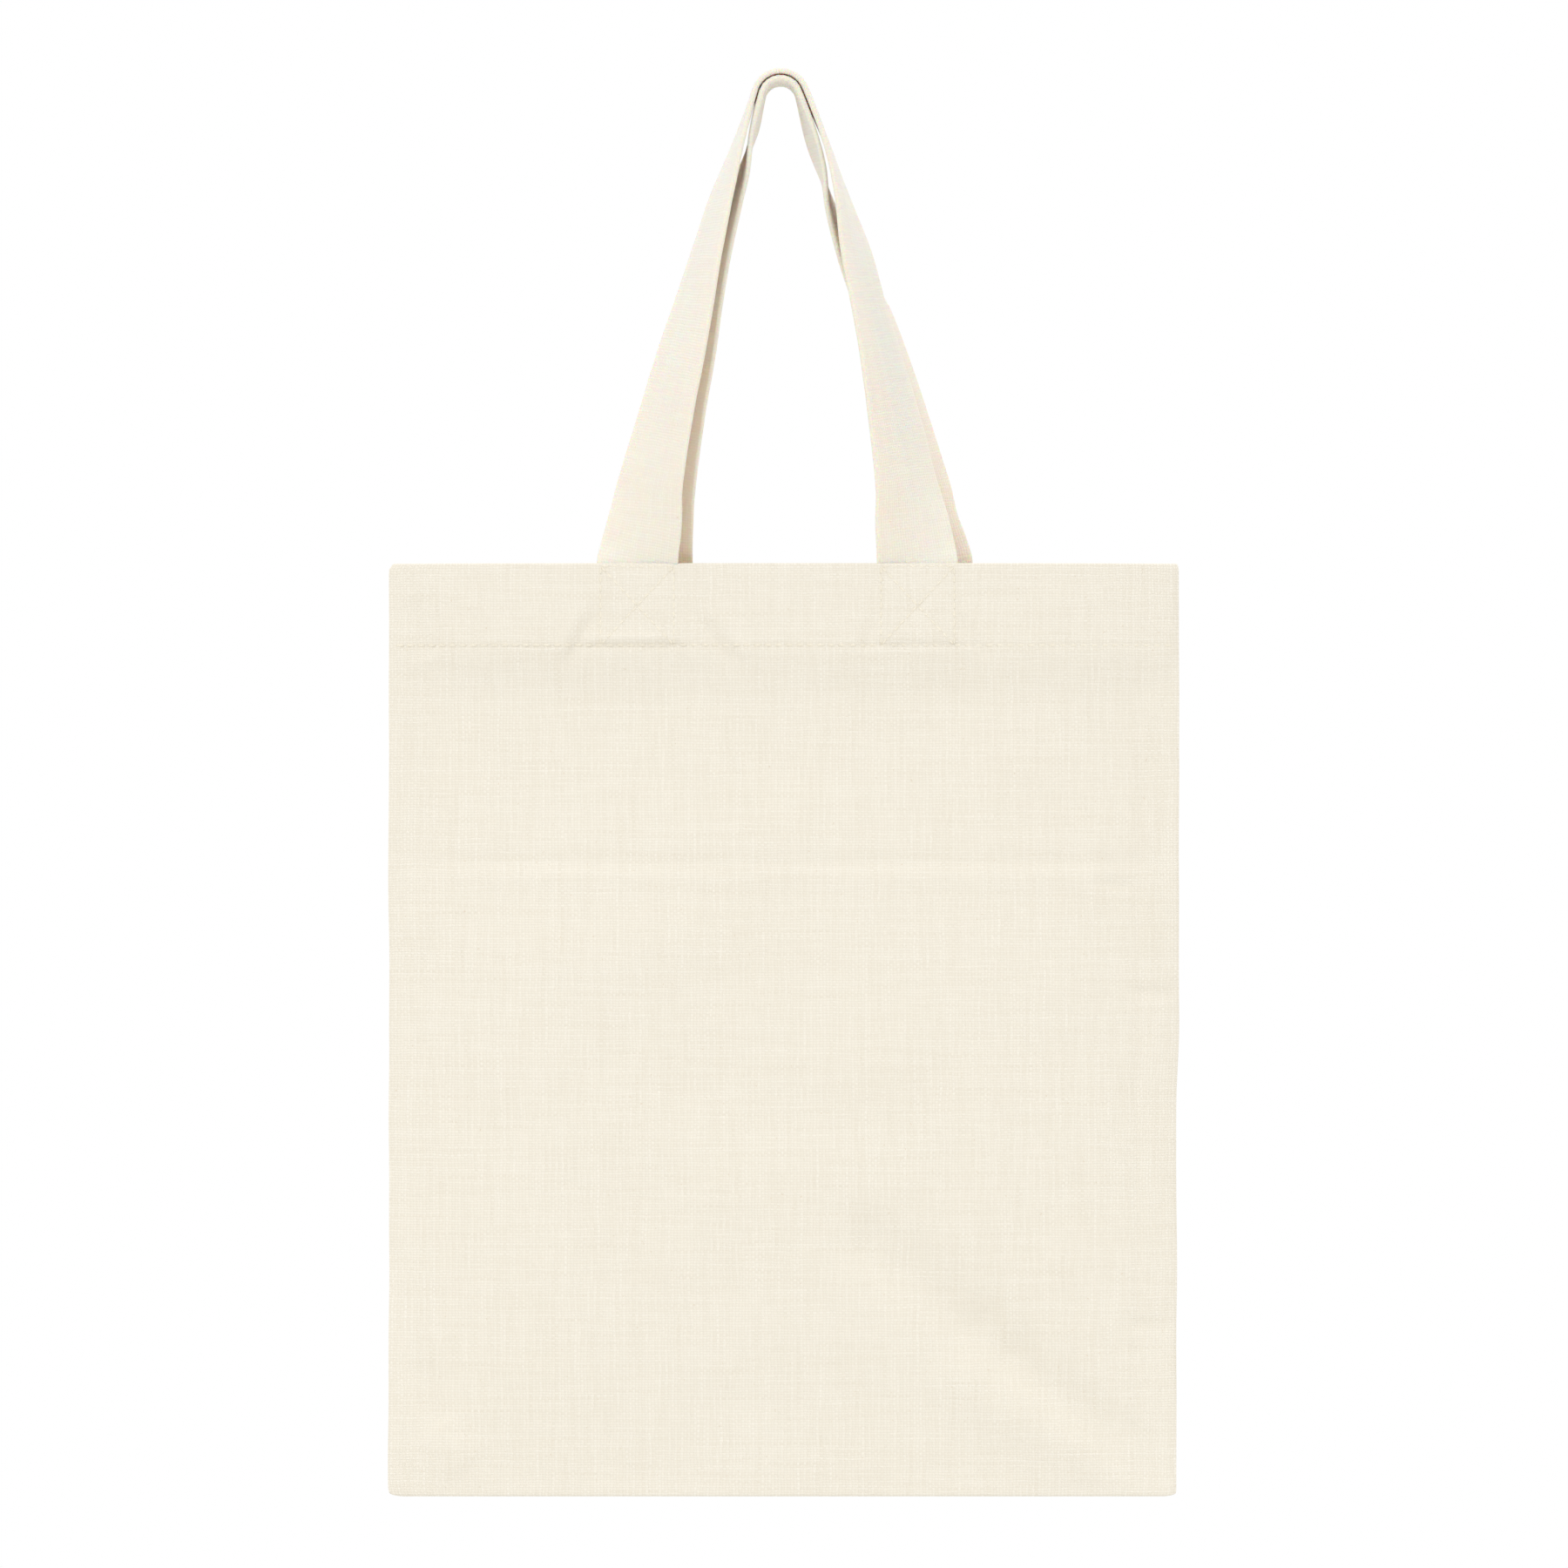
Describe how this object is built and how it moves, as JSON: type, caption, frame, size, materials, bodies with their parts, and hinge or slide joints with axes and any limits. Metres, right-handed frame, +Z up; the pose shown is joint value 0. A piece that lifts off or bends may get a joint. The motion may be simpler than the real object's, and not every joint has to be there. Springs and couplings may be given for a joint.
{
  "type": "canvas tote bag",
  "caption": "Flat natural cotton tote bag hung by twin strap handles from a peg, open at a hemmed mouth, with boxed handle tacks.",
  "frame": {"origin": "the axis of the peg that the bag hangs from, in the middle of the straps' width", "axes": "+Z up, +X to the right when looking at the front, front faces -Y, +Y along the peg to the back"},
  "size_m": [0.2794, 0.038, 0.5049],
  "materials": {
    "body_canvas": "plain weave natural cotton, matt",
    "folded_canvas": "plain weave natural cotton, pressed fold, matt",
    "strap_canvas": "plain weave natural cotton, folded and pressed, matt",
    "cotton_thread": "twisted sewing cotton, matt"
  },
  "bodies": {
    "bag_front": {"front_panel": "body_canvas", "bottom_fold": "body_canvas", "front_hem_facing": "folded_canvas", "front_hem_thread": "cotton_thread", "left_side_seam": "folded_canvas", "right_side_seam": "folded_canvas", "left_seam_thread": "cotton_thread", "right_seam_thread": "cotton_thread", "left_overlock_thread": "cotton_thread", "right_overlock_thread": "cotton_thread", "front_handle_left_end": "strap_canvas", "front_handle_right_end": "strap_canvas", "front_left_tack_thread": "cotton_thread", "front_right_tack_thread": "cotton_thread"},
    "bag_back": {"back_panel": "body_canvas", "back_hem_facing": "folded_canvas", "back_hem_thread": "cotton_thread", "rear_handle_left_end": "strap_canvas", "rear_handle_right_end": "strap_canvas", "rear_left_tack_thread": "cotton_thread", "rear_right_tack_thread": "cotton_thread"},
    "front_handle": {"front_handle_strap": "strap_canvas"},
    "rear_handle": {"rear_handle_strap": "strap_canvas"}
  },
  "joints": [
    {"name": "mouth_open", "type": "hinge", "parent": "bag_front", "child": "bag_back", "pos_m": [0.0012, 0, -0.493], "axis": [-1, 0, 0], "range_deg": [0, 10], "stiffness_Nm_per_rad": 0.15, "springref_deg": -1.72},
    {"name": "front_handle_swing", "type": "hinge", "parent": "bag_front", "child": "front_handle", "pos_m": [0, -0.00718, -0.1592], "axis": [1, 0, 0], "range_deg": [0, 90]},
    {"name": "rear_handle_swing", "type": "hinge", "parent": "bag_back", "child": "rear_handle", "pos_m": [0, 0.00718, -0.1592], "axis": [-1, 0, 0], "range_deg": [0, 90]}
  ]
}
